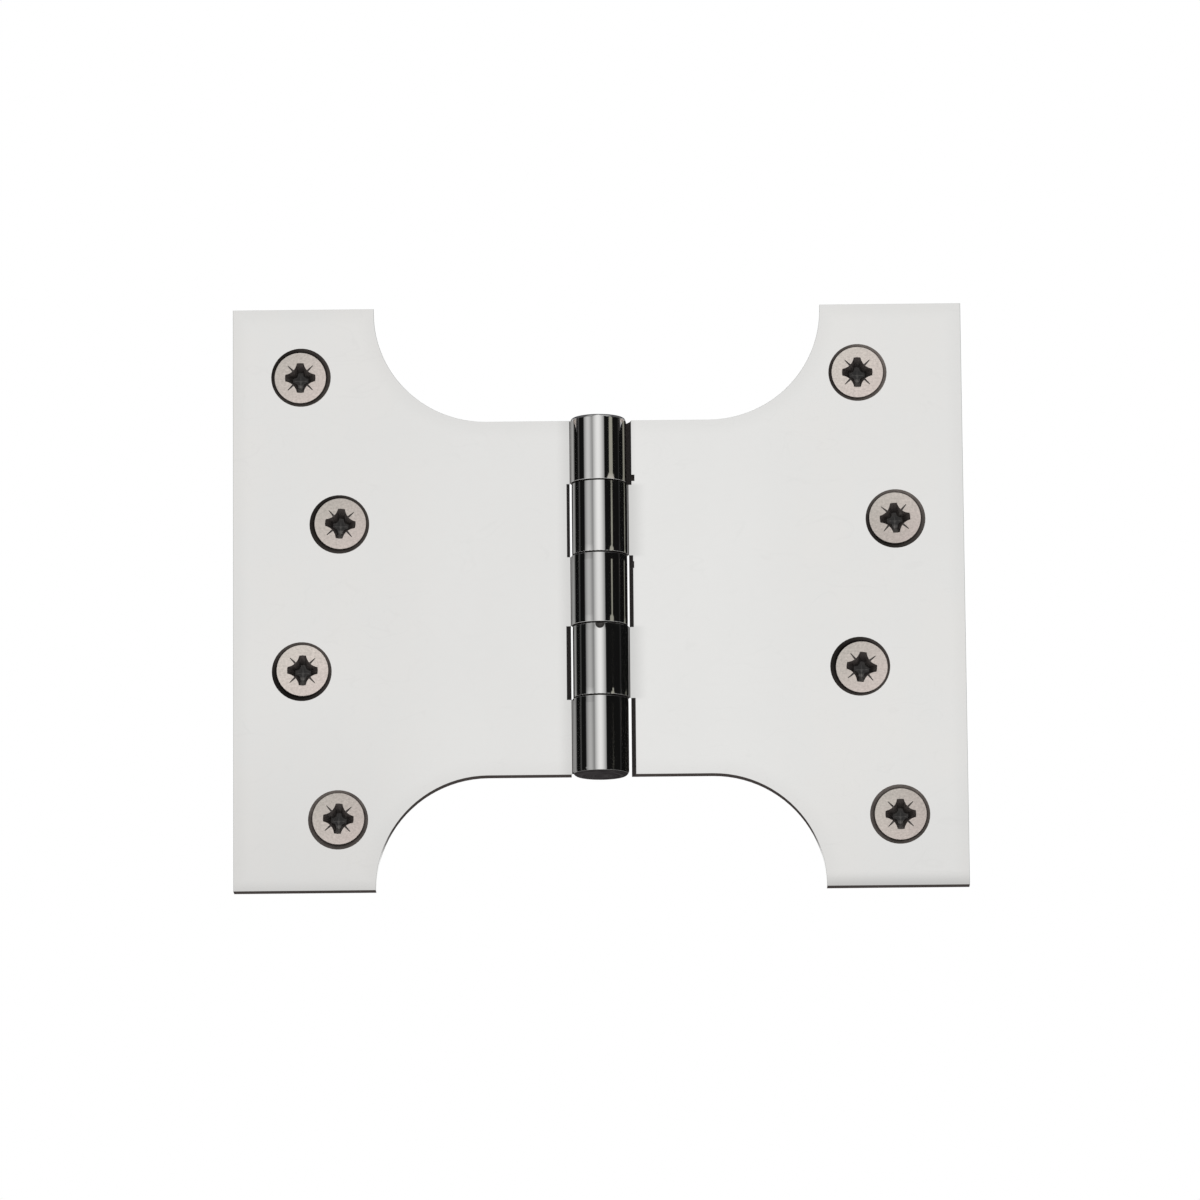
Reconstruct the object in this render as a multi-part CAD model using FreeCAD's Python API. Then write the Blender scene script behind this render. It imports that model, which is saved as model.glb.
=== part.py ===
import FreeCAD, Part
import math
import os

# Parliament (projection) hinge, opened flat: two T-shaped leaves with scooped necks, a five-knuckle barrel,
# a fixed pin, two thrust bearings sunk inside the barrel and eight countersunk cross-recess wood screws.
# All lengths in millimetres. Shapes are first built about the pin axis (pin axis = Z, countersunk side towards -Y)
# and then moved so that the origin is the centre of the frame leaf's back face.

V = FreeCAD.Vector

# --- leaves ---
leaf_height = 102.0          # full height of the wings
half_width = 63.15           # middle of the hinge to a wing's outer edge (126.3 across, opened flat)
wing_inner = 38.70           # and to a wing's inner edge (77.4 clear between the wings)
leaf_shift = -0.10           # the leaves' middle lies this far from the pin axis along X
neck_top, neck_low = 30.82, -31.27   # the neck's upper and lower edges
scoop_r = 19.38              # radius of the quarter-round scoops between wing and neck
leaf_t = 3.0                 # leaf thickness
face_back = 0.15             # the countersunk face stands this far behind the pin axis
edge_round = 0.05            # the leaves' edges are all but sharp

# --- barrel ---
z_top, z_low = 31.09, -31.58 # the barrel's ends
barrel_r = 4.85              # outside of the knuckles
door_knuckle_shift = 0.18    # the door leaf's knuckles are turned slightly off the pin axis
seam_gap = 0.24              # axial play at each seam
seams = (19.55, 6.90, -5.45, -18.10)   # middle of the four seams
seam_break = 0.06            # rounding of the edges at the seams
dub_drop, dub_len = 0.020, 1.20   # polishing has drawn the knuckles' ends in by this much over this length
rim_top, rim_low = 0.55, 0.95   # rounding of the barrel's upper and lower rim
rim_relief = (0.12, 0.27)    # how far the corner of the frame leaf's neck is cut back from the upper and the lower rim
cope_frame = ((5.55, 5.04), (5.77, 5.00))   # hollow walls of the frame leaf beside knuckles 2 and 4: reach in x at the face and at the back
cope_door = ((5.70, 4.75), (5.87, 5.16), (6.06, 5.30))  # and of the door leaf beside knuckles 1, 3 and 5
web_slope = 0.60             # the lower sides of the webs over the hollows rise this much towards the back
nick = (6.22, 20.11, 21.22)  # small square nick at the foot of the door leaf's first hollow: reach in x, z from and to
burr = (6.03, 4.80, 6.00)    # shallow one near the head of its second hollow
nick_depth = 0.90            # of both, from the leaf's face
dent_r, dent_out, dent_x, dent_z = 0.88, 0.40, 0.05, -5.73   # dent in the top edge of knuckle 4: ball radius, how far out it stood, x and z
slit = (5.08, 0.07, 0.60)    # the frame leaf's neck stops short of the lowest knuckle at its lower edge: reach in x, height at the face and at the back

# --- pin and plugs ---
pin_r = 2.50
press_bore_r = 2.50          # end knuckles grip the pin
centre_bore_r = 2.53         # middle knuckle of the frame leaf
run_bore_r = 2.56            # door leaf's knuckles turn on the pin
plug_len = 2.2
plug_gap = 0.10

# --- thrust bearings, sunk in counterbores at the first and last seam ---
cb_r = 4.00                  # counterbore radius, the races are pressed in
cb_floor = 1.12              # from the seam's middle to the counterbore floor
race_in = 2.62
race_top = 0.45              # from the seam's middle to the race's rolling side
ball_r = 0.50
ball_pitch_r = 3.31
ball_count = 14
groove_r = 0.53
cage_in, cage_out, cage_half = 2.60, 3.92, 0.26
pocket_r = 0.545

# --- screws ---
csk_r = 5.17                 # countersink at the leaf's face
csk_r_small = 5.05           # the door leaf's first one is a little smaller
hole_r = 2.80                # clearance hole
head_r = 4.50                # head's flat
head_drop = 0.30             # the head lies this far below the leaf's face
head_rim = 0.08              # short cylindrical rim of the head
neck_blend = 0.05            # the head's cone ends this much wider than the shank,
neck_end = 2.78              # and the neck is down to the shank's radius at this depth, just behind the leaf
shank_r = 2.40
core_r = 1.62
crest_r = 2.34
thread_base = 0.42           # half width of the thread at its root
screw_len = 31.75
shank_end = 11.0
thread_end = 27.6
pitch = 2.1
recess_reach, recess_hw, recess_corner = 2.60, 0.60, 1.80
recess_depth = 2.35
tick_out, tick_in = 3.07, 1.55
# name, x from the hinge's middle, z, sideways play of the head (x, z), turn of the recess seen from the front (degrees, clockwise)
screws = (
    ("frame_screw_1", -51.35, 38.97, -0.14, 0.01, 0.0),
    ("frame_screw_2", -44.77, 12.98, 0.15, 0.19, 5.0),
    ("frame_screw_3", -51.33, -12.80, 0.11, 0.26, 1.0),
    ("frame_screw_4", -45.14, -38.72, 0.02, 0.25, 3.5),
    ("door_screw_1", 45.16, 38.90, -0.02, 0.12, 0.0),
    ("door_screw_2", 51.36, 13.04, -0.07, 0.19, -5.5),
    ("door_screw_3", 44.90, -12.82, 0.28, -0.07, 6.5),
    ("door_screw_4", 51.385, -38.67, 0.115, 0.07, -0.5),
)

# the pin axis in the hinge's own frame
PIN_X = (half_width + wing_inner) / 2.0 - leaf_shift
PIN_Y = -(leaf_t + face_back)
SHIFT = V(PIN_X, PIN_Y, 0.0)

front = face_back
back = face_back + leaf_t
g = seam_gap / 2.0


def wire(points):
    """Closed polygon from a list of vectors."""
    return Part.makePolygon(list(points) + [points[0]])


def revolve(points_rz, about=V(0, 0, 0)):
    """Solid of revolution about Z from (r, z) points."""
    w = wire([V(r, 0, z) for r, z in points_rz])
    s = Part.Face(w).revolve(V(0, 0, 0), V(0, 0, 1), 360)
    s.translate(about)
    return s


def ring(r_in, r_out, z0, z1):
    a = Part.makeCylinder(r_out, z1 - z0, V(0, 0, z0))
    return a.cut(Part.makeCylinder(r_in, z1 - z0 + 2, V(0, 0, z0 - 1)))


def leaf_plate(side):
    """T-shaped plate with quarter-round scoops, from the pin axis to the outer edge; side is -1 left, 1 right."""
    h = leaf_height / 2.0
    up, dn = neck_top + scoop_r, neck_low - scoop_r   # centre heights of the scoops' arcs
    cx = wing_inner - scoop_r
    q = math.sqrt(0.5) * scoop_r
    s = side

    def p(x, z):
        return V(s * x + (leaf_shift if x > 0 else 0.0), front, z)

    edges = [
        Part.makeLine(p(0, neck_top), p(cx, neck_top)),
        Part.Arc(p(cx, neck_top), p(cx + q, up - q), p(wing_inner, up)).toShape(),
        Part.makeLine(p(wing_inner, up), p(wing_inner, h)),
        Part.makeLine(p(wing_inner, h), p(half_width, h)),
        Part.makeLine(p(half_width, h), p(half_width, -h)),
        Part.makeLine(p(half_width, -h), p(wing_inner, -h)),
        Part.makeLine(p(wing_inner, -h), p(wing_inner, dn)),
        Part.Arc(p(wing_inner, dn), p(cx + q, dn + q), p(cx, neck_low)).toShape(),
        Part.makeLine(p(cx, neck_low), p(0, neck_low)),
        Part.makeLine(p(0, neck_low), p(0, neck_top)),
    ]
    face = Part.Face(Part.Wire(edges))
    plate = face.extrude(V(0, leaf_t, 0))
    rims = []
    for e in plate.Edges:
        b = e.BoundBox
        flat = b.YLength < 1e-6
        at_axis = max(abs(b.XMin), abs(b.XMax)) < 1e-6
        if flat and not at_axis:
            rims.append(e)
    return plate.makeFillet(edge_round, rims)


def knuckle(z0, z1, shift, round_low=0.0, round_high=0.0):
    """One solid knuckle with drawn-in ends at the seams, or a rounded rim at the end of the barrel."""
    R = barrel_r
    h45 = math.sqrt(0.5)

    def P(r, z):
        return V(r, 0, z)

    def end(z, s, rounded):
        """Edges from the end face out to the full radius; s is the direction into the knuckle."""
        if rounded:
            q = rounded
            a, m, b = P(R - q, z), P(R - q + q * h45, z + s * (q - q * h45)), P(R, z + s * q)
            return [Part.makeLine(P(0, z), a), Part.Arc(a, m, b).toShape()], b
        q, d = seam_break, dub_drop
        a, m, b = P(R - d - q, z), P(R - d - q + q * h45, z + s * (q - q * h45)), P(R - d, z + s * q)
        length = dub_len - q
        rho = (length ** 2 + d ** 2) / (2 * d)
        half = math.asin(length / rho) / 2
        e = P(R, z + s * dub_len)
        n = P(R - rho + rho * math.cos(half), z + s * (dub_len - rho * math.sin(half)))
        return [Part.makeLine(P(0, z), a), Part.Arc(a, m, b).toShape(), Part.Arc(b, n, e).toShape()], e

    low, start = end(z0, 1, round_low)
    high, stop = end(z1, -1, round_high)
    edges = low + [Part.makeLine(start, stop)] + high + [Part.makeLine(P(0, z1), P(0, z0))]
    outline = Part.Wire(Part.__sortEdges__(edges))
    solid = Part.Face(outline).revolve(V(0, 0, 0), V(0, 0, 1), 360)
    solid.translate(V(shift, 0, 0))
    return solid


def rim_cutter(z_rim, z_neck, z_end, relief):
    """Waste around the barrel's end: the leaf stops at the barrel where its rim is rounded, and its corner is cut back."""
    s = math.copysign(1.0, z_end)
    return revolve([(0, z_rim), (barrel_r, z_rim), (barrel_r, z_neck - s * 0.16), (barrel_r + relief, z_neck + s * 0.01),
                    (barrel_r + relief, z_end + s * 0.5), (0, z_end + s * 0.5)])


def screw_hole(x, z, r):
    """Clearance hole with a 90 degree countersink, axis along Y."""
    depth = r - hole_r
    prof = [V(0, front - 0.5, 0), V(r + 0.5, front - 0.5, 0), V(hole_r, front + depth, 0), V(hole_r, back + 1, 0), V(0, back + 1, 0)]
    s = Part.Face(wire(prof)).revolve(V(0, 0, 0), V(0, 1, 0), 360)
    s.translate(V(x, 0, z))
    return s


S1, S2, S3, S4 = seams
knuckles = {
    1: (S1 + g, z_top),
    2: (S2 + g, S1 - g),
    3: (S3 + g, S2 - g),
    4: (S4 + g, S3 - g),
    5: (z_low, S4 - g),
}


def bearing_counterbore(seam, up):
    """Counterbore on one side of a seam, open at the seam."""
    if up:
        return Part.makeCylinder(cb_r, cb_floor, V(0, 0, seam))
    return Part.makeCylinder(cb_r, cb_floor, V(0, 0, seam - cb_floor))


def hollow(reach, lo, hi, slope=web_slope):
    """Cutter for a hollow beside a knuckle: a round cutter set a little off the pin axis, so that its wall passes
    through the given reaches at the leaf's face and back; its upper side rises towards the back."""
    xf, xb = reach
    y0 = (xb ** 2 + back ** 2 - xf ** 2 - front ** 2) / (2 * (back - front))
    r = math.hypot(xf, front - y0)
    body = Part.makeCylinder(r, hi - lo + slope, V(0, y0, lo))
    if slope > 0:
        prof = wire([V(-20, -20, hi), V(-20, front, hi), V(-20, back, hi + slope), V(-20, 20, hi + slope), V(-20, 20, hi + 5), V(-20, -20, hi + 5)])
        body = body.cut(Part.Face(prof).extrude(V(40, 0, 0)))
    return body


# ---------------------------------------------------------------- leaves
frame_leaf = leaf_plate(-1)
for reach, lo, hi in zip(cope_frame, (S2 - g, S4 - g), (S1 + g, S3 + g)):
    frame_leaf = frame_leaf.cut(hollow(reach, lo, hi))
frame_leaf = frame_leaf.cut(rim_cutter(z_top - rim_top, neck_top, z_top, rim_relief[0]))
frame_leaf = frame_leaf.cut(rim_cutter(z_low + rim_low, neck_low, z_low, rim_relief[1]))
gap_side = wire([V(-slit[0], front - 0.2, neck_low - 1), V(-slit[0], front - 0.2, neck_low + slit[1]), V(-slit[0], back + 0.2, neck_low + slit[2]), V(-slit[0], back + 0.2, neck_low - 1)])
frame_leaf = frame_leaf.cut(Part.Face(gap_side).extrude(V(3.0, 0, 0)))
for k in (1, 3, 5):
    lo, hi = knuckles[k]
    frame_leaf = frame_leaf.fuse(knuckle(lo, hi, 0.0, rim_low if k == 5 else 0.0, rim_top if k == 1 else 0.0))
frame_leaf = frame_leaf.cut(Part.makeCylinder(press_bore_r, z_top - S1 + 2, V(0, 0, S1 - 1)))
frame_leaf = frame_leaf.cut(Part.makeCylinder(press_bore_r, S4 - z_low + 2, V(0, 0, z_low - 1)))
frame_leaf = frame_leaf.cut(Part.makeCylinder(centre_bore_r, S2 - S3, V(0, 0, S3)))
frame_leaf = frame_leaf.cut(bearing_counterbore(S1, True)).cut(bearing_counterbore(S4, False))

door_leaf = leaf_plate(1)
cuts = ((cope_door[0], S1 - g, z_top + 2, 0.0), (cope_door[1], S3 - g, S2 + g, web_slope), (cope_door[2], z_low - 2, S4 + g, web_slope))
for reach, lo, hi, slope in cuts:
    door_leaf = door_leaf.cut(hollow(reach, lo, hi, slope))
for reach, lo, hi in (nick, burr):
    door_leaf = door_leaf.cut(Part.makeBox(reach - 4.0, nick_depth + 0.5, hi - lo, V(4.0, front - 0.5, lo)))
for k in (2, 4):
    lo, hi = knuckles[k]
    door_leaf = door_leaf.fuse(knuckle(lo, hi, door_knuckle_shift))
door_leaf = door_leaf.cut(Part.makeSphere(dent_r, V(dent_x, -(barrel_r + dent_out), dent_z)))
door_leaf = door_leaf.cut(Part.makeCylinder(run_bore_r, 60, V(0, 0, -30)))
door_leaf = door_leaf.cut(bearing_counterbore(S1, False)).cut(bearing_counterbore(S4, True))

for name, x, z, dx, dz, turn in screws:
    if name.startswith("frame"):
        frame_leaf = frame_leaf.cut(screw_hole(x + leaf_shift, z, csk_r))
    else:
        door_leaf = door_leaf.cut(screw_hole(x + leaf_shift, z, csk_r_small if name == "door_screw_1" else csk_r))

# ---------------------------------------------------------------- pin and plugs
pin_end = z_top - plug_len - plug_gap
pc = 0.3
pin_low = z_low + z_top - pin_end
pin = revolve([(0, pin_low), (pin_r - pc, pin_low), (pin_r, pin_low + pc), (pin_r, pin_end - pc), (pin_r - pc, pin_end), (0, pin_end)])
plug_pts = [(0, z_top - plug_len), (pin_r - 0.2, z_top - plug_len), (pin_r, z_top - plug_len + 0.2), (pin_r, z_top - 0.05), (pin_r - 0.05, z_top), (0, z_top)]
top_plug = revolve(plug_pts)
bottom_plug = revolve([(r, z_low + z_top - z) for r, z in plug_pts])


# ---------------------------------------------------------------- bearings
def race(seam, up):
    """Grooved ring pressed into a counterbore; the ball track faces the seam."""
    lo, hi = (seam + race_top, seam + cb_floor) if up else (seam - cb_floor, seam - race_top)
    body = ring(race_in, cb_r, lo, hi)
    return body.cut(Part.makeTorus(ball_pitch_r, groove_r, V(0, 0, seam), V(0, 0, 1)))


def cage(seam):
    body = ring(cage_in, cage_out, seam - cage_half, seam + cage_half)
    for i in range(ball_count):
        a = 2 * math.pi * i / ball_count
        body = body.cut(Part.makeCylinder(pocket_r, 2, V(ball_pitch_r * math.cos(a), ball_pitch_r * math.sin(a), seam - 1)))
    return body


def balls(seam):
    out = []
    for i in range(ball_count):
        a = 2 * math.pi * i / ball_count
        out.append(Part.makeSphere(ball_r, V(ball_pitch_r * math.cos(a), ball_pitch_r * math.sin(a), seam)))
    return Part.makeCompound(out)


# ---------------------------------------------------------------- screws
def recess_wire(k_reach, k_hw, k_corner, z, grow=1.0):
    """Cross outline: four arms whose sides sweep together near the middle."""
    reach, hw, corner = recess_reach * k_reach, recess_hw * k_hw, recess_corner * k_corner
    edges = []
    c45 = math.cos(math.radians(45))
    for i in range(4):
        a = math.radians(90 * i)
        ca, sa = math.cos(a), math.sin(a)

        def r(x, y, ca=ca, sa=sa):
            return V(x * ca - y * sa, x * sa + y * ca, z)

        edges.append(Part.Arc(r(reach, -hw), r(reach + 0.10 * hw, 0), r(reach, hw)).toShape())
        edges.append(Part.Arc(r(reach, hw), r(corner * c45, corner * c45), r(hw, reach)).toShape())
    return Part.Wire(edges)


def screw_solid():
    """Countersunk wood screw along +Z from the head's flat at z = 0."""
    cone_end = head_rim + head_r - shank_r
    tip = [(0, 0), (head_r - 0.06, 0), (head_r, 0.06), (head_r, head_rim), (shank_r + neck_blend, cone_end - neck_blend),
           (shank_r, neck_end), (shank_r, shank_end),
           (core_r, shank_end + 0.6), (core_r, thread_end), (0.12, screw_len - 0.05), (0, screw_len)]
    body = revolve(tip)
    z0, z1 = shank_end - 0.3, thread_end + 0.5
    helix = Part.makeHelix(pitch, z1 - z0, core_r)
    prof = wire([V(core_r - 0.12, 0, -thread_base), V(crest_r, 0, -0.06), V(crest_r, 0, 0.06), V(core_r - 0.12, 0, thread_base)])
    thread = helix.makePipeShell([prof], True, True)
    thread.translate(V(0, 0, z0))
    body = body.fuse(thread)
    rec = Part.makeLoft([recess_wire(1, 1, 1, -0.02), recess_wire(0.50, 0.70, 0.50, recess_depth)], True, True)
    body = body.cut(rec)
    for i in range(4):
        a = 45 + 90 * i
        tick = Part.Face(wire([V(tick_in, -0.21, -0.02), V(tick_out, -0.06, -0.02), V(tick_out, 0.06, -0.02), V(tick_in, 0.21, -0.02)])).extrude(V(0, 0, 0.24))
        tick.rotate(V(0, 0, 0), V(0, 0, 1), a)
        body = body.cut(tick)
    return body


base_screw = screw_solid()


def place_screw(x, z, turn):
    """The head faces -Y, the point +Y; turn is clockwise seen from the front."""
    s = base_screw.copy()
    s.rotate(V(0, 0, 0), V(0, 0, 1), turn)
    s.rotate(V(0, 0, 0), V(1, 0, 0), -90)
    s.translate(V(x, front + head_drop, z))
    return s


parts = {
    "frame_leaf": frame_leaf,
    "door_leaf": door_leaf,
    "hinge_pin": pin,
    "top_pin_plug": top_plug,
    "bottom_pin_plug": bottom_plug,
    "upper_bearing_top_race": race(S1, True),
    "upper_bearing_cage": cage(S1),
    "upper_bearing_balls": balls(S1),
    "upper_bearing_bottom_race": race(S1, False),
    "lower_bearing_top_race": race(S4, True),
    "lower_bearing_cage": cage(S4),
    "lower_bearing_balls": balls(S4),
    "lower_bearing_bottom_race": race(S4, False),
}
for name, x, z, dx, dz, turn in screws:
    parts[name] = place_screw(x + leaf_shift + dx, z + dz, turn)

os.makedirs("parts", exist_ok=True)
for name, shape in parts.items():
    shape = shape.copy()
    shape.translate(SHIFT)
    if len(shape.Solids) == 1:
        shape = shape.Solids[0]
    shape.exportStep("parts/%s.step" % name)
    b = shape.BoundBox
    print("%-28s solids %2d valid %s vol %9.2f mm3  x %.2f..%.2f y %.2f..%.2f z %.2f..%.2f" % (
        name, len(shape.Solids), shape.isValid(), shape.Volume, b.XMin, b.XMax, b.YMin, b.YMax, b.ZMin, b.ZMax))
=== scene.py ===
import math

import bpy
from mathutils import Matrix, Vector

# Parliament hinge, opened flat: mirror-polished leaves and barrel, satin screws in unpolished countersinks,
# lit by a studio of soft cards. Metres in the row frame; the shaders work in millimetres.

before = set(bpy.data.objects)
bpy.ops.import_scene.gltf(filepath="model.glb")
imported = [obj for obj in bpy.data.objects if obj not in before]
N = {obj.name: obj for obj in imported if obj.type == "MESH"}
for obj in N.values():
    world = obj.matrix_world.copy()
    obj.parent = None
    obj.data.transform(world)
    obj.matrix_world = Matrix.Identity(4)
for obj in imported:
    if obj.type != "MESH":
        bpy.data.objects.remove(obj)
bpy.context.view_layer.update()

PIN = (51.025, -3.15)  # the pin axis in the row frame, mm
FACE = 0.15            # the countersunk face, from the pin axis along Y
SEAMS = (19.55, 6.90, -5.45, -18.10)
GAIN = 1.40            # brightness of the studio; bright plating gives back about two thirds of it
SCREWS = {             # hole centre x, z from the pin axis, and the head's sideways play
    "frame_screw_1": (-51.45, 38.97, -0.14, 0.01),
    "frame_screw_2": (-44.87, 12.98, 0.15, 0.19),
    "frame_screw_3": (-51.43, -12.80, 0.11, 0.26),
    "frame_screw_4": (-45.24, -38.72, 0.02, 0.25),
    "door_screw_1": (45.06, 38.90, -0.02, 0.12),
    "door_screw_2": (51.26, 13.04, -0.07, 0.19),
    "door_screw_3": (44.80, -12.82, 0.28, -0.07),
    "door_screw_4": (51.285, -38.67, 0.115, 0.07),
}
# the countersinks: how deep their painted shade is, and the side that painted light makes lightest (degrees from +X),
# if any
SINK_SHADE = {"deep_shade": 0.055, "half_shade": 0.09, "faint_shade": 0.12}
SINKS = {
    "frame_screw_1": ("deep_shade", -45),
    "frame_screw_2": ("deep_shade", -45),
    "frame_screw_3": ("deep_shade", 45),
    "frame_screw_4": ("faint_shade", None),
    "door_screw_1": ("faint_shade", 0),
    "door_screw_2": ("half_shade", 45),
    "door_screw_3": ("deep_shade", -45),
    "door_screw_4": ("faint_shade", None),
}
# the heads: one satin steel in three painted brightnesses of light and shade, and the way painted light makes a head
# lighter on the side where it leans in its seat
HEAD_TINT = (0.62, 0.56, 0.52)
SHADE = {"dark": 0.94, "plain": 1.0, "light": 1.12}
HEADS = {
    "frame_screw_1": ("plain", -45),
    "frame_screw_2": ("dark", -90),
    "frame_screw_3": ("light", None),
    "frame_screw_4": ("dark", -90),
    "door_screw_1": ("light", None),
    "door_screw_2": ("dark", 45),
    "door_screw_3": ("plain", -45),
    "door_screw_4": ("dark", -135),
}


# ------------------------------------------------------------------ shader arithmetic
class S:
    """A shader value: a number or a socket, with the usual operators."""

    tree = None

    def __init__(self, v):
        self.v = v

    @staticmethod
    def of(a):
        return a if isinstance(a, S) else S(a)

    @staticmethod
    def op(name, *args, clamp=False):
        n = S.tree.nodes.new("ShaderNodeMath")
        n.operation = name
        n.use_clamp = clamp
        for i, a in enumerate(args):
            a = S.of(a).v
            if isinstance(a, (int, float)):
                n.inputs[i].default_value = a
            else:
                S.tree.links.new(a, n.inputs[i])
        return S(n.outputs[0])

    def __add__(self, o):
        return S.op("ADD", self, o)

    def __radd__(self, o):
        return S.op("ADD", o, self)

    def __sub__(self, o):
        return S.op("SUBTRACT", self, o)

    def __rsub__(self, o):
        return S.op("SUBTRACT", o, self)

    def __mul__(self, o):
        return S.op("MULTIPLY", self, o)

    def __rmul__(self, o):
        return S.op("MULTIPLY", o, self)

    def __truediv__(self, o):
        return S.op("DIVIDE", self, o)

    def __rtruediv__(self, o):
        return S.op("DIVIDE", o, self)

    def __neg__(self):
        return S.op("MULTIPLY", self, -1.0)


def absolute(a):
    return S.op("ABSOLUTE", a)


def smallest(*a):
    out = a[0]
    for b in a[1:]:
        out = S.op("MINIMUM", out, b)
    return out


def largest(*a):
    out = a[0]
    for b in a[1:]:
        out = S.op("MAXIMUM", out, b)
    return out


def hypot(a, b):
    return S.op("SQRT", a * a + b * b)


def step(lo, hi, a, out0=0.0, out1=1.0):
    """Smooth step from out0 below lo to out1 above hi."""
    n = S.tree.nodes.new("ShaderNodeMapRange")
    n.interpolation_type = "SMOOTHSTEP"
    n.inputs["From Min"].default_value = lo
    n.inputs["From Max"].default_value = hi
    n.inputs["To Min"].default_value = out0
    n.inputs["To Max"].default_value = out1
    a = S.of(a).v
    S.tree.links.new(a, n.inputs["Value"])
    return S(n.outputs["Result"])


def window(a, lo, hi, soft_lo, soft_hi=None):
    """1 between lo and hi, falling to 0 over soft_lo and soft_hi centred on the ends."""
    soft_hi = soft_lo if soft_hi is None else soft_hi
    return step(lo - soft_lo / 2, lo + soft_lo / 2, a) * step(hi - soft_hi / 2, hi + soft_hi / 2, a, 1.0, 0.0)


def combine(x, y, z):
    n = S.tree.nodes.new("ShaderNodeCombineXYZ")
    for i, a in enumerate((x, y, z)):
        a = S.of(a).v
        if isinstance(a, (int, float)):
            n.inputs[i].default_value = a
        else:
            S.tree.links.new(a, n.inputs[i])
    return S(n.outputs[0])


def separate(vec):
    n = S.tree.nodes.new("ShaderNodeSeparateXYZ")
    S.tree.links.new(vec.v, n.inputs[0])
    return [S(o) for o in n.outputs]


def noise(vec, scale, detail=2.0, rough=0.5, distortion=0.0):
    n = S.tree.nodes.new("ShaderNodeTexNoise")
    n.noise_dimensions = "3D"
    n.inputs["Scale"].default_value = scale
    n.inputs["Detail"].default_value = detail
    n.inputs["Roughness"].default_value = rough
    n.inputs["Distortion"].default_value = distortion
    S.tree.links.new(vec.v, n.inputs["Vector"])
    return S(n.outputs["Fac"])


def mix_colour(fac, a, b):
    n = S.tree.nodes.new("ShaderNodeMix")
    n.data_type = "RGBA"
    n.blend_type = "MIX"
    fac = S.of(fac).v
    if isinstance(fac, (int, float)):
        n.inputs[0].default_value = fac
    else:
        S.tree.links.new(fac, n.inputs[0])
    for i, c in ((6, a), (7, b)):
        if isinstance(c, (tuple, list)):
            n.inputs[i].default_value = (*c[:3], 1.0)
        else:
            S.tree.links.new(c.v, n.inputs[i])
    return S(n.outputs[2])


def scaled_colour(c, k):
    """A colour times a value."""
    n = S.tree.nodes.new("ShaderNodeVectorMath")
    n.operation = "SCALE"
    if isinstance(c, (tuple, list)):
        n.inputs[0].default_value = c[:3]
    else:
        S.tree.links.new(c.v, n.inputs[0])
    k = S.of(k).v
    if isinstance(k, (int, float)):
        n.inputs["Scale"].default_value = k
    else:
        S.tree.links.new(k, n.inputs["Scale"])
    return S(n.outputs[0])


def new_material(name, rough=0.1, metallic=1.0, colour=(0.8, 0.8, 0.8)):
    m = bpy.data.materials.new(name)
    m.use_nodes = True
    S.tree = m.node_tree
    bsdf = m.node_tree.nodes["Principled BSDF"]
    bsdf.inputs["Metallic"].default_value = metallic
    bsdf.inputs["Roughness"].default_value = rough
    bsdf.inputs["Base Color"].default_value = (*colour, 1.0)
    m.diffuse_color = (*colour, 1.0)
    m.metallic = metallic
    m.roughness = rough
    return m, bsdf


def place_mm():
    """Position in the row frame in mm (each piece's own coordinates, so it moves with the piece)."""
    tc = S.tree.nodes.new("ShaderNodeTexCoord")
    vm = S.tree.nodes.new("ShaderNodeVectorMath")
    vm.operation = "SCALE"
    vm.inputs["Scale"].default_value = 1000.0
    S.tree.links.new(tc.outputs["Object"], vm.inputs[0])
    return S(vm.outputs[0])


def plug(bsdf, name, value):
    S.tree.links.new(value.v, bsdf.inputs[name])


def bump(height, distance, strength=1.0, normal=None):
    n = S.tree.nodes.new("ShaderNodeBump")
    n.inputs["Strength"].default_value = strength
    n.inputs["Distance"].default_value = distance
    S.tree.links.new(height.v, n.inputs["Height"])
    if normal is not None:
        S.tree.links.new(normal.v, n.inputs["Normal"])
    return S(n.outputs[0])


def own_normal():
    """Normal in the piece's own frame."""
    tc = S.tree.nodes.new("ShaderNodeTexCoord")
    return S(tc.outputs["Normal"])


def to_world(vec):
    n = S.tree.nodes.new("ShaderNodeVectorTransform")
    n.vector_type = "NORMAL"
    n.convert_from = "OBJECT"
    n.convert_to = "WORLD"
    if isinstance(vec, tuple):
        n.inputs[0].default_value = vec
    else:
        S.tree.links.new(vec.v, n.inputs[0])
    return S(n.outputs[0])


def turn_about_z(vec, angle):
    n = S.tree.nodes.new("ShaderNodeVectorRotate")
    n.rotation_type = "Z_AXIS"
    S.tree.links.new(vec.v, n.inputs["Vector"])
    S.tree.links.new(angle.v, n.inputs["Angle"])
    return S(n.outputs[0])


def vec_op(name, a, b):
    n = S.tree.nodes.new("ShaderNodeVectorMath")
    n.operation = name
    for i, c in enumerate((a, b)):
        if isinstance(c, tuple):
            n.inputs[i].default_value = c
        elif c is not None:
            S.tree.links.new(c.v, n.inputs[i])
    return S(n.outputs[0])


def stairs(a, first, *steps):
    """A value that goes in smooth steps: first, then (where, softness, new value) in rising order."""
    out, last = S(first), first
    for where, soft, value in steps:
        out = out + step(where - soft / 2, where + soft / 2, a, 0.0, value - last)
        last = value
    return out


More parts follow.
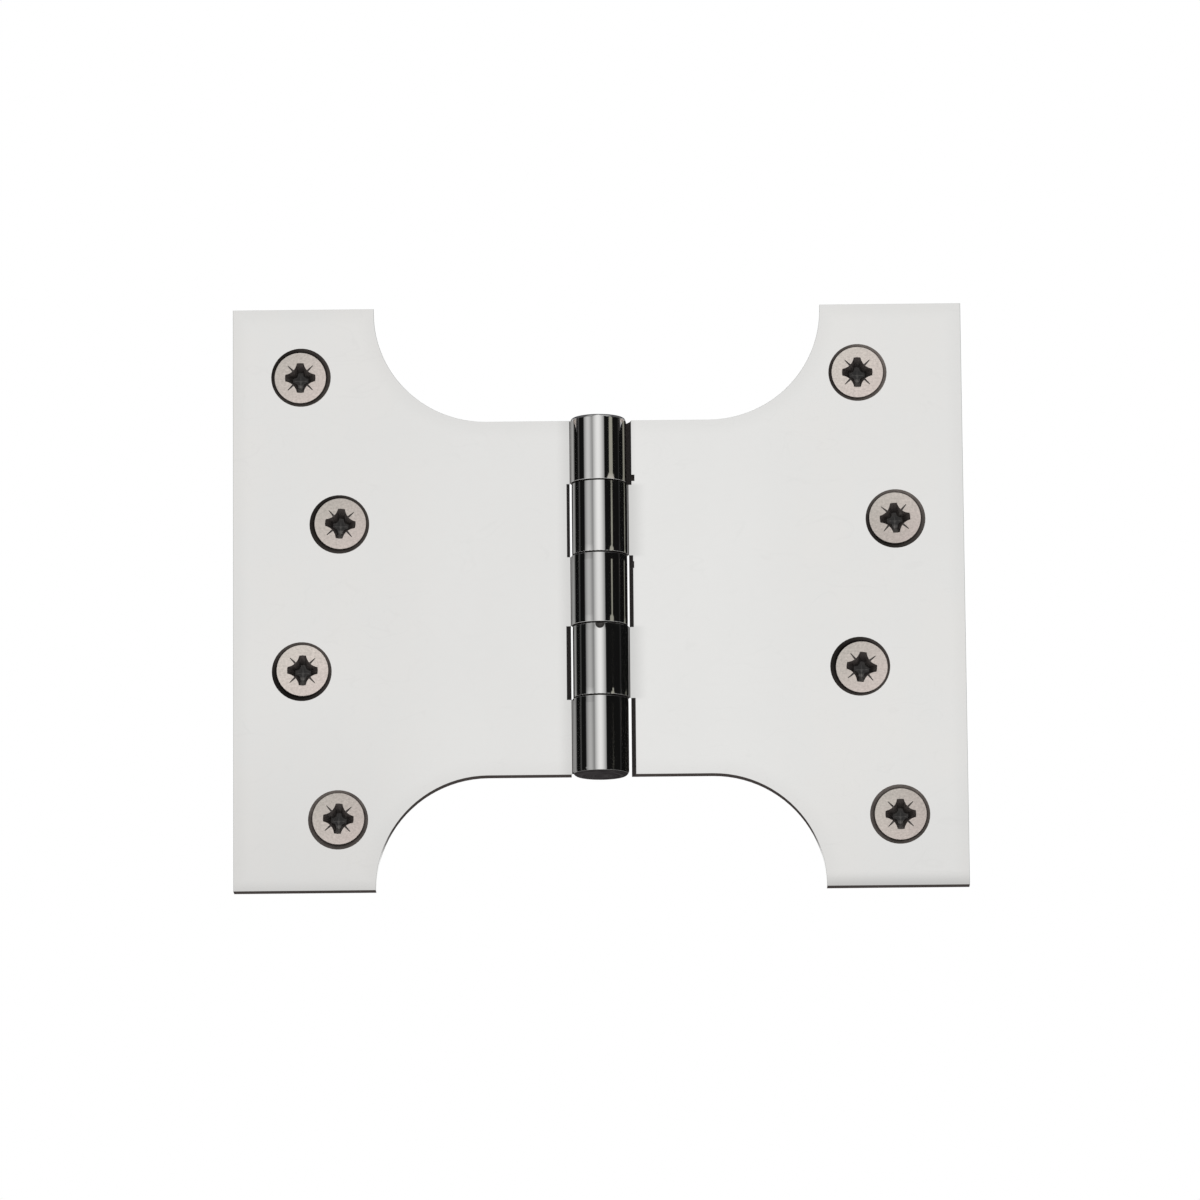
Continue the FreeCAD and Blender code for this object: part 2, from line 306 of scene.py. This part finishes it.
# ------------------------------------------------------------------ materials
def leaf_material(name, side, tint, holes):
    """Mirror plating over a buffed leaf; countersinks, hollows, seams and the barrel's lower end are left dull and
    carry painted shade.
    """
    m, b = new_material(name, 0.045, 1.0, (0.90, 0.90, 0.89))
    p = place_mm()
    x, y, z = separate(p)
    xp = x - PIN[0]
    yp = y - PIN[1]
    ax = absolute(xp + 0.10)
    az = absolute(z)
    r = hypot(xp, yp)
    nx, ny, nz = separate(own_normal())
    flank = absolute(nx)
    cap = absolute(nz)

    # tone of the buffed faces: painted shade makes them a little darker towards the outline, the barrel and the lower
    # end, and painted light makes them a touch lighter within about 24 mm of the pin
    scoop = smallest(hypot(S.op("MAXIMUM", ax - 19.32, 0.0), z - 50.20), hypot(S.op("MAXIMUM", ax - 19.32, 0.0), z + 50.65)) - 19.38
    rim = smallest(63.15 - ax, 51.0 - az, scoop)
    edge_fall = step(0.1, 3.2, rim, 0.965, 1.0)
    if side < 0:
        near_barrel = step(4.9, 7.6, r, 0.87, 1.0)
    else:
        own = largest(window(z, SEAMS[1], SEAMS[0], 0.8), window(z, SEAMS[3], SEAMS[2], 0.8))
        near_barrel = 1.0 - (1.0 - step(4.9, 8.5, r, 0.80, 1.0)) * own - (1.0 - step(4.9, 6.7, r, 0.87, 1.0)) * (1.0 - own)
    if side < 0:
        sink = step(-50.0, -14.0, z, 0.935, 1.0)
        foot_fall = step(-51.5, -49.0, z, 0.90, 1.0)
    else:
        sink = step(-49.0, -26.0, z, 0.962, 1.0)
        foot_fall = step(-51.5, -48.4, z, 0.74, 1.0)
    sink = 1.0 + (sink - 1.0) * step(28.0, 42.0, ax)
    neck = step(24.0, 36.0, ax, 1.014, 1.0)
    cloud = noise(combine(xp * 1.0, yp, z * 0.7), 0.085, 3.0, 0.55)
    fine = noise(combine(xp * 0.35, yp, z), 0.9, 2.0, 0.5)
    web = noise(combine(xp * 0.30 + z * 0.12, yp, z * 0.8 - xp * 0.1), 0.22, 1.0, 0.5, 1.2)
    hair = step(0.0, 0.010, absolute(web - 0.5), 0.985, 1.0)
    tone = 0.985 + 0.03 * cloud + 0.008 * (fine - 0.5)
    warmth = step(0.35, 0.7, cloud) * step(24.0, 40.0, ax)
    polish = mix_colour(warmth * 0.6, tint, (tint[0] * 1.003, tint[1] * 0.993, tint[2] * 0.984))
    base = scaled_colour(polish, tone * hair * edge_fall * near_barrel * neck * sink * foot_fall)

    # the barrel: each knuckle was buffed on its own, so each throws the studio a little differently
    barrel = step(4.99, 5.05, r, 1.0, 0.0) * step(0.5, 0.8, cap, 1.0, 0.0) * step(-0.4, 0.1, yp, 1.0, 0.0)
    base = mix_colour(barrel, base, scaled_colour(tint, (0.985 + 0.02 * cloud) * stairs(z, 1.0, (SEAMS[2], 0.2, 0.925), (SEAMS[1], 0.2, 1.0))))

    # dull places with painted shade: the hollows' walls, the faces inside the seams, the undersides of the leaf and the
    # barrel's lower end are coloured near-black where shade falls, and made rougher and less metallic
    hollow = window(r, 5.02, 6.6, 0.06) * step(0.4, 0.6, flank) * window(yp, 0.1, 3.4, 0.02)
    cheeks = step(6.6, 6.8, r, 1.0, 0.0) * step(0.6, 0.8, cap) * step(30.0, 30.3, az, 1.0, 0.0)
    foot = step(-31.20, -31.14, z, 1.0, 0.0) * step(5.0, 5.1, r, 1.0, 0.0)
    under = step(0.2, 0.55, -nz) * step(5.0, 5.1, r) * step(-31.0, -30.9, z, 1.0, 0.0)
    dull_and_painted_shade = largest(hollow, cheeks, foot, under)
    # painted shade: a thin dark line along the crease where the barrel meets the leaf's face
    seat = r if side < 0 else hypot(xp - 0.18, yp)
    crease = window(seat, 4.84, 4.99, 0.02, 0.06) * step(0.5, 0.8, -ny) * step(0.0, 0.08, yp) * 0.9
    # painted shade: darkens the door leaf's set-back front faces just beside the barrel, next to two of the seams
    if side > 0:
        boxed = smallest(window(xp, 5.0, 6.3, 0.1), largest(window(z, 20.05, 21.28, 0.06), window(z, 4.74, 6.06, 0.06)), step(0.20, 0.26, yp), step(0.5, 0.6, -ny))
        dull_and_painted_shade = largest(dull_and_painted_shade, boxed)
    dull_and_painted_shade = largest(dull_and_painted_shade, crease)
    grit = noise(combine(xp * 1.2, yp * 1.2, z * 2.5), 1.6, 3.0, 0.6)
    painted_shade_colour = mix_colour(grit, (0.034, 0.028, 0.027), (0.072, 0.062, 0.059))
    turned = noise(combine(r * 3.0, z * 0.2, xp * 0.6), 1.0, 3.0, 0.65)
    painted_shade_colour = mix_colour(foot, painted_shade_colour, mix_colour(step(0.3, 0.7, turned), (0.020, 0.018, 0.019), (0.046, 0.043, 0.044)))
    colour = mix_colour(dull_and_painted_shade, base, painted_shade_colour)
    # painted shade: the dent is coloured dark in place of its reflection
    if side > 0:
        bx, by, bz = xp - 0.05, yp + 5.25, z + 5.73
        dent = step(0.92, 0.96, S.op("SQRT", bx * bx + by * by + bz * bz), 1.0, 0.0)
        colour = mix_colour(dent, colour, (0.085, 0.080, 0.078))
        dull_and_painted_shade = largest(dull_and_painted_shade, dent)

    # countersinks: bare metal, painted dark as shade, more in some than others, and lighter towards one side as painted
    # light
    d, bare = None, None
    for name_, (cx, cz) in holes.items():
        hx, hz = xp - cx, z - cz
        rr = hypot(hx, hz)
        d = rr if d is None else smallest(d, rr)
        sink_shade, way = SINKS[name_]
        here = step(6.0, 7.0, rr, SINK_SHADE[sink_shade], 0.0)
        if way is not None:
            a = math.radians(way)
            here = here * (1.0 + 0.6 * (hx * math.cos(a) + hz * math.sin(a)) / S.op("MAXIMUM", rr, 0.5))
        bare = here if bare is None else bare + here
    hole = step(5.18, 5.22, d, 1.0, 0.0) * window(yp, FACE + 0.012, FACE + 2.985, 0.016, 0.02) * step(0.80, 0.95, ny, 1.0, 0.0)
    patch = noise(combine(xp, yp, z), 0.45, 2.0, 0.5)
    colour = mix_colour(hole, colour, scaled_colour((1.14, 1.0, 0.93), bare * (0.72 + 0.56 * grit) * (0.6 + 0.8 * patch)))
    plug(b, "Base Color", colour)
    matt = largest(foot, under)
    plug(b, "Metallic", 1.0 - smallest(S(1.0), dull_and_painted_shade * 0.7 + hole * 0.8 + matt))
    plug(b, "Roughness", 0.04 + 0.02 * cloud + dull_and_painted_shade * 0.36 + hole * 0.36)
    b.inputs["Specular IOR Level"].default_value = 0.0

    # shading normal: knuckle tilt, no drop where the lowest rim starts to turn in, and the faint waviness of the buffing
    flat = largest(window(z, -31.17, -30.60, 0.04, 0.06), window(z, 18.25, 19.46, 0.02)) * step(5.0, 5.1, r, 1.0, 0.0)
    nrm = to_world(combine(nx, ny, nz * (1.0 - flat)))
    spin = stairs(z, -0.2, (SEAMS[3], 0.05, 1.6), (SEAMS[2], 0.05, 0.0), (SEAMS[1], 0.05, 1.4), (SEAMS[0], 0.05, -0.6)) * (math.pi / 180.0)
    lean = stairs(z, 0.0227, (SEAMS[2], 0.05, 0.0), (SEAMS[0], 0.05, -0.0262)) * (0.9 / S.op("MAXIMUM", -ny, 0.35))
    tilted = vec_op("ADD", turn_about_z(nrm, spin * barrel), combine(0.0, 0.0, lean * barrel))
    tilted = vec_op("NORMALIZE", tilted, None)
    wave = noise(combine(xp * 0.8, yp * 0.8, z * 0.16), 0.55, 2.0, 0.5)
    plug(b, "Normal", bump(wave, 0.00001, 0.25, tilted))
    return m


def screw_material(name, centre, tint, slope, seed):
    """Satin head with faint turning marks and a fine grain; the cross recess is painted dark as shade, with painted
    glints.
    """
    m, b = new_material(name, 0.3, 1.0, tint)
    p = place_mm()
    x, y, z = separate(p)
    dx = x - (PIN[0] + centre[0])
    dz = z - centre[1]
    r = hypot(dx, dz)
    depth = y - (PIN[1] + FACE + 0.30)
    head = step(0.3, 0.6, depth, 1.0, 0.0)
    rings = noise(combine(r * 6.0, seed * 3.1, dx * 0.25), 1.0, 3.0, 0.6)
    cloud = noise(combine(dx, dz, S.of(seed * 7.0)), 0.55, 3.0, 0.6)
    grain = noise(combine(dx, dz * 1.3, S.of(seed * 5.0)), 2.4, 2.0, 0.7)
    speck = noise(combine(dx * 1.1, dz, S.of(seed * 9.0)), 1.9, 2.0, 0.6)
    tone = 0.90 + (0.07 * rings + 0.10 * (cloud - 0.5) + 0.62 * (grain - 0.5) + 0.24 * (speck - 0.5))
    # painted light: the head gets lighter towards the side it leans to
    tone = tone + (dx * (slope[0] / 3.6) + dz * (slope[1] / 3.6)) * head
    hue = (dx - dz) * head * (1.0 / 9.0) + 0.5 * (speck - 0.5)
    base = scaled_colour(combine(tint[0] * (1.0 + 0.02 * hue), tint[1] * (1.0 - 0.018 * hue), tint[2] * (1.0 - 0.004 * hue)), tone)
    # painted shade and painted highlights: the cross recess is coloured near-black, darker deeper down and at its
    # centre, with painted glints at its centre, along its edges, in flecks and down its lower arm
    inside = step(4.10, 4.25, r + depth, 1.0, 0.0) * step(0.015, 0.06, depth)
    deep = step(0.6, 2.3, depth)
    painted_glint_fleck = step(0.50, 0.78, noise(combine(dx * 1.3, dz * 0.9, S.of(seed * 11.0)), 1.6, 2.0, 0.55)) * step(0.2, 0.8, depth)
    painted_glint_v = step(0.02, 0.13, absolute(dx), 1.0, 0.0) * window(dz, -1.9, 0.6, 0.7)
    painted_glint_h = step(0.02, 0.12, absolute(dz + 0.10), 1.0, 0.0) * window(dx, -0.9, 1.0, 0.5)
    painted_centre_glint = step(0.05, 0.40, hypot(dx, dz + 0.25), 1.0, 0.0)
    painted_arm_streak = step(0.25, 0.62, absolute(dx), 1.0, 0.0) * window(dz, -2.7, -0.8, 0.5) * 0.30
    light = smallest(S(1.0), painted_glint_fleck * 0.22 * (1.0 - deep * 0.5) + painted_arm_streak + largest(painted_glint_v, painted_glint_h) * (0.12 + 0.5 * cloud) + painted_centre_glint * 0.45)
    dark = mix_colour(light, mix_colour(deep, (0.058, 0.049, 0.046), (0.026, 0.022, 0.021)), (0.30, 0.285, 0.270))
    dark = scaled_colour(dark, step(0.5, 1.1, r, 0.50, 1.25))
    plug(b, "Base Color", mix_colour(inside, base, dark))
    plug(b, "Metallic", 1.0 - inside * 0.85)
    plug(b, "Roughness", 0.27 + 0.10 * rings + inside * 0.12)
    plug(b, "Normal", bump(rings, 0.00002, 0.35))
    return m


def ground_material(name, colour, rough, scale):
    m, b = new_material(name, rough, 1.0, colour)
    p = place_mm()
    x, y, z = separate(p)
    streak = noise(combine(x * 0.2, y * 0.2, z * 6.0), scale, 3.0, 0.6)
    plug(b, "Base Color", scaled_colour(colour, 0.88 + 0.22 * streak))
    plug(b, "Roughness", rough * 0.8 + 0.4 * rough * streak)
    S.tree.links.new(bump(streak, 0.00001, 0.3).v, b.inputs["Normal"])
    return m


def plug_material(name, dark, light, metal):
    """The barrel's closed ends: faced off in a lathe and left dull, with faint rings; the lower end's near-black
    colours are painted shade.
    """
    m, b = new_material(name, 0.35, metal, dark)
    p = place_mm()
    x, y, z = separate(p)
    xp, yp = x - PIN[0], y - PIN[1]
    r = hypot(xp, yp)
    turned = noise(combine(r * 3.0, z * 0.2, xp * 0.6), 1.0, 3.0, 0.65)
    plug(b, "Base Color", mix_colour(step(0.3, 0.7, turned), dark, light))
    plug(b, "Roughness", 0.36 + 0.08 * turned)
    b.inputs["Specular IOR Level"].default_value = 0.0
    plug(b, "Normal", bump(turned, 0.00001, 0.3))
    return m


def cage_material(name):
    """Stamped brass; the outer rim, all that shows through the seam, is dark with grease and with painted shade."""
    m, b = new_material(name, 0.3, 1.0, (0.72, 0.56, 0.27))
    p = place_mm()
    x, y, z = separate(p)
    r = hypot(x - PIN[0], y - PIN[1])
    smear = noise(combine(x * 0.6, y * 0.6, z * 2.0), 1.2, 3.0, 0.6)
    brass = scaled_colour((0.72, 0.56, 0.27), 0.85 + 0.25 * smear)
    # grease and painted shade: the outer rim is coloured near-black
    grease_and_painted_shade = step(3.70, 3.88, r)
    plug(b, "Base Color", mix_colour(grease_and_painted_shade, brass, (0.030, 0.025, 0.016)))
    plug(b, "Roughness", 0.25 + 0.1 * smear + 0.2 * grease_and_painted_shade)
    return m


def dress(node, material):
    o = N[node]
    o.data.materials.clear()
    o.data.materials.append(material)
    for poly in o.data.polygons:
        poly.material_index = 0


frame_holes = {k: SCREWS[k][:2] for k in SCREWS if k.startswith("frame")}
door_holes = {k: SCREWS[k][:2] for k in SCREWS if k.startswith("door")}
dress("frame_leaf", leaf_material("polished_frame_leaf", -1, (0.661, 0.657, 0.651), frame_holes))
dress("door_leaf", leaf_material("polished_door_leaf", 1, (0.682, 0.679, 0.673), door_holes))
dress("top_pin_plug", plug_material("faced_top_pin_plug", (0.26, 0.25, 0.25), (0.38, 0.37, 0.37), 0.9))
# painted shade: the barrel's lower end is coloured near-black and not metallic
dress("bottom_pin_plug", plug_material("painted_shade_bottom_pin_plug", (0.020, 0.018, 0.019), (0.046, 0.043, 0.044), 0.0))
dress("hinge_pin", ground_material("ground_pin", (0.55, 0.55, 0.56), 0.22, 1.5))
for b in ("upper", "lower"):
    for part in ("top_race", "bottom_race", "balls"):
        dress(b + "_bearing_" + part, ground_material(b + "_" + part + "_steel", (0.62, 0.62, 0.63), 0.15, 2.0))
    dress(b + "_bearing_cage", cage_material(b + "_cage_brass"))
# each head's shade and lean gradient from HEADS are painted light and shade
for i, (name, (cx, cz, px, pz)) in enumerate(SCREWS.items()):
    shade, way = HEADS[name]
    tint = tuple(c * SHADE[shade] for c in HEAD_TINT)
    slope = (0.0, 0.0) if way is None else (0.06 * math.cos(math.radians(way)), 0.06 * math.sin(math.radians(way)))
    dress(name, screw_material("satin_" + name, (cx + px, cz + pz), tint, slope, i + 1.0))


# ------------------------------------------------------------------ studio
def build_world():
    w = bpy.data.worlds.new("studio")
    bpy.context.scene.world = w
    w.use_nodes = True
    t = w.node_tree
    t.nodes.clear()
    S.tree = t
    tc = t.nodes.new("ShaderNodeTexCoord")
    nv = t.nodes.new("ShaderNodeVectorMath")
    nv.operation = "NORMALIZE"
    t.links.new(tc.outputs["Generated"], nv.inputs[0])
    x, y, z = separate(S(nv.outputs[0]))
    deg = 180.0 / math.pi
    az = S.op("ARCTAN2", x, -y) * deg      # 0 towards the front, positive to the right
    el = S.op("ARCSINE", z) * deg

    # main softbox in front, brightest in its middle
    d = az + 1.8
    hump = S.op("MAXIMUM", 1.0 - (d / 27.0) * (d / 27.0), 0.0)
    main = (0.26 + 0.545 * S.op("POWER", hump, 1.6)) * window(az, -25.4, 23.5, 3.0, 3.0)
    # dim side card on the left of it, weaker higher up
    e = (az + 43.5) / 13.0
    gain = smallest(largest(0.545 - 0.045 * (el - 9.2), S(0.36)), S(0.58))
    left = window(az, -61.0, -26.0, 7.0, 2.6) * (0.62 + 0.38 * S.op("MAXIMUM", 1.0 - e * e, 0.0)) * gain
    # narrow warm card on the right, opening out at its lower end
    half_w = 2.6 + step(8.9, 9.9, el, 5.4, 0.0) + step(5.6, 7.9, el, 10.0, 0.0) + step(10.77, 10.83, el) - step(11.28, 11.40, el, 0.0, 5.2)
    warm = step(-1.2, 1.2, half_w - absolute(az - stairs(el, 52.0, (9.95, 0.5, 53.4))))
    crown = largest(window(az, 33.0, 61.0, 6.0) * window(el, 21.0, 62.0, 4.0, 8.0), window(az, 20.0, 80.0, 6.0, 20.0) * step(29.0, 38.0, el))
    glint_left = window(az, -93.0, -86.0, 4.0)
    glint_right = window(az, 88.0, 95.0, 5.0)
    grey = main + left + 0.045 * glint_left + 0.018 * glint_right + 0.38 * crown + 0.006
    front = mix_colour(warm, scaled_colour((1.0, 1.0, 0.992), grey), mix_colour(step(6.2, 7.6, el), (0.46, 0.44, 0.40), (0.315, 0.310, 0.262)))

    # the rest of the room, which the object turns to only when it is seen from elsewhere
    side_az = absolute(az)
    back = window(side_az, 104.0, 140.0, 14.0) * 0.42 + step(148.0, 160.0, side_az) * 0.66 + 0.05
    colour = mix_colour(step(94.0, 102.0, side_az), front, scaled_colour((1.0, 1.0, 0.995), back))
    over = step(14.0, 26.0, el) * step(55.0, 75.0, side_az)
    colour = mix_colour(over, colour, mix_colour(step(100.0, 125.0, side_az), (0.110, 0.108, 0.112), (0.075, 0.074, 0.078)))
    pale = 0.30 + step(20.0, 70.0, side_az, 0.34, 0.0) + 0.20 * step(120.0, 160.0, side_az)
    low = step(-6.0, 3.5, el, 1.0, 0.0)
    colour = mix_colour(low, colour, scaled_colour((1.0, 1.0, 0.99), pale * step(-85.0, -20.0, el, 0.55, 1.0)))
    colour = scaled_colour(colour, GAIN)

    bg = t.nodes.new("ShaderNodeBackground")
    t.links.new(colour.v, bg.inputs["Color"])
    white = t.nodes.new("ShaderNodeBackground")
    white.inputs["Color"].default_value = (1.0, 1.0, 1.0, 1.0)
    lp = t.nodes.new("ShaderNodeLightPath")
    mx = t.nodes.new("ShaderNodeMixShader")
    out = t.nodes.new("ShaderNodeOutputWorld")
    t.links.new(lp.outputs["Is Camera Ray"], mx.inputs[0])
    t.links.new(bg.outputs[0], mx.inputs[1])
    t.links.new(white.outputs[0], mx.inputs[2])
    t.links.new(mx.outputs[0], out.inputs[0])


build_world()

# floor, far below the hinge, which is held up by its frame leaf
mesh = bpy.data.meshes.new("floor")
h = 6.0
mesh.from_pydata([(-h, -h, 0), (h, -h, 0), (h, h, 0), (-h, h, 0)], [], [(0, 1, 2, 3)])
floor = bpy.data.objects.new("floor", mesh)
floor.location = (0.05, 0.0, -1.6)
bpy.context.scene.collection.objects.link(floor)
fm, fb = new_material("pale_floor", 0.9, 0.0, (0.86, 0.86, 0.85))
fb.inputs["Emission Color"].default_value = (1.0, 1.0, 0.99, 1.0)
fb.inputs["Emission Strength"].default_value = 0.8
mesh.materials.append(fm)

# ------------------------------------------------------------------ camera
az, el, roll = math.radians(-0.3779), math.radians(10.5), math.radians(-0.5068)
distance = 1.4333
fwd = Vector((math.sin(az) * math.cos(el), math.cos(az) * math.cos(el), math.sin(el)))
right = Vector((math.cos(az), -math.sin(az), 0.0))
up = right.cross(fwd)
cam_x = math.cos(roll) * right + math.sin(roll) * up
cam_y = -math.sin(roll) * right + math.cos(roll) * up
target = Vector((PIN[0] + 0.077, PIN[1] + 0.001, -0.803)) / 1000.0
data = bpy.data.cameras.new("camera")
data.sensor_width = 36.0
data.lens = 249.23
data.clip_start, data.clip_end = 0.05, 50.0
camera = bpy.data.objects.new("camera", data)
bpy.context.scene.collection.objects.link(camera)
rot = Matrix((cam_x, cam_y, -fwd)).transposed().to_4x4()
camera.matrix_world = Matrix.Translation(target - distance * fwd) @ rot
bpy.context.scene.camera = camera

scene = bpy.context.scene
scene.view_settings.view_transform = "Standard"
scene.view_settings.look = "None"
scene.view_settings.exposure = 0.0
scene.view_settings.gamma = 1.0
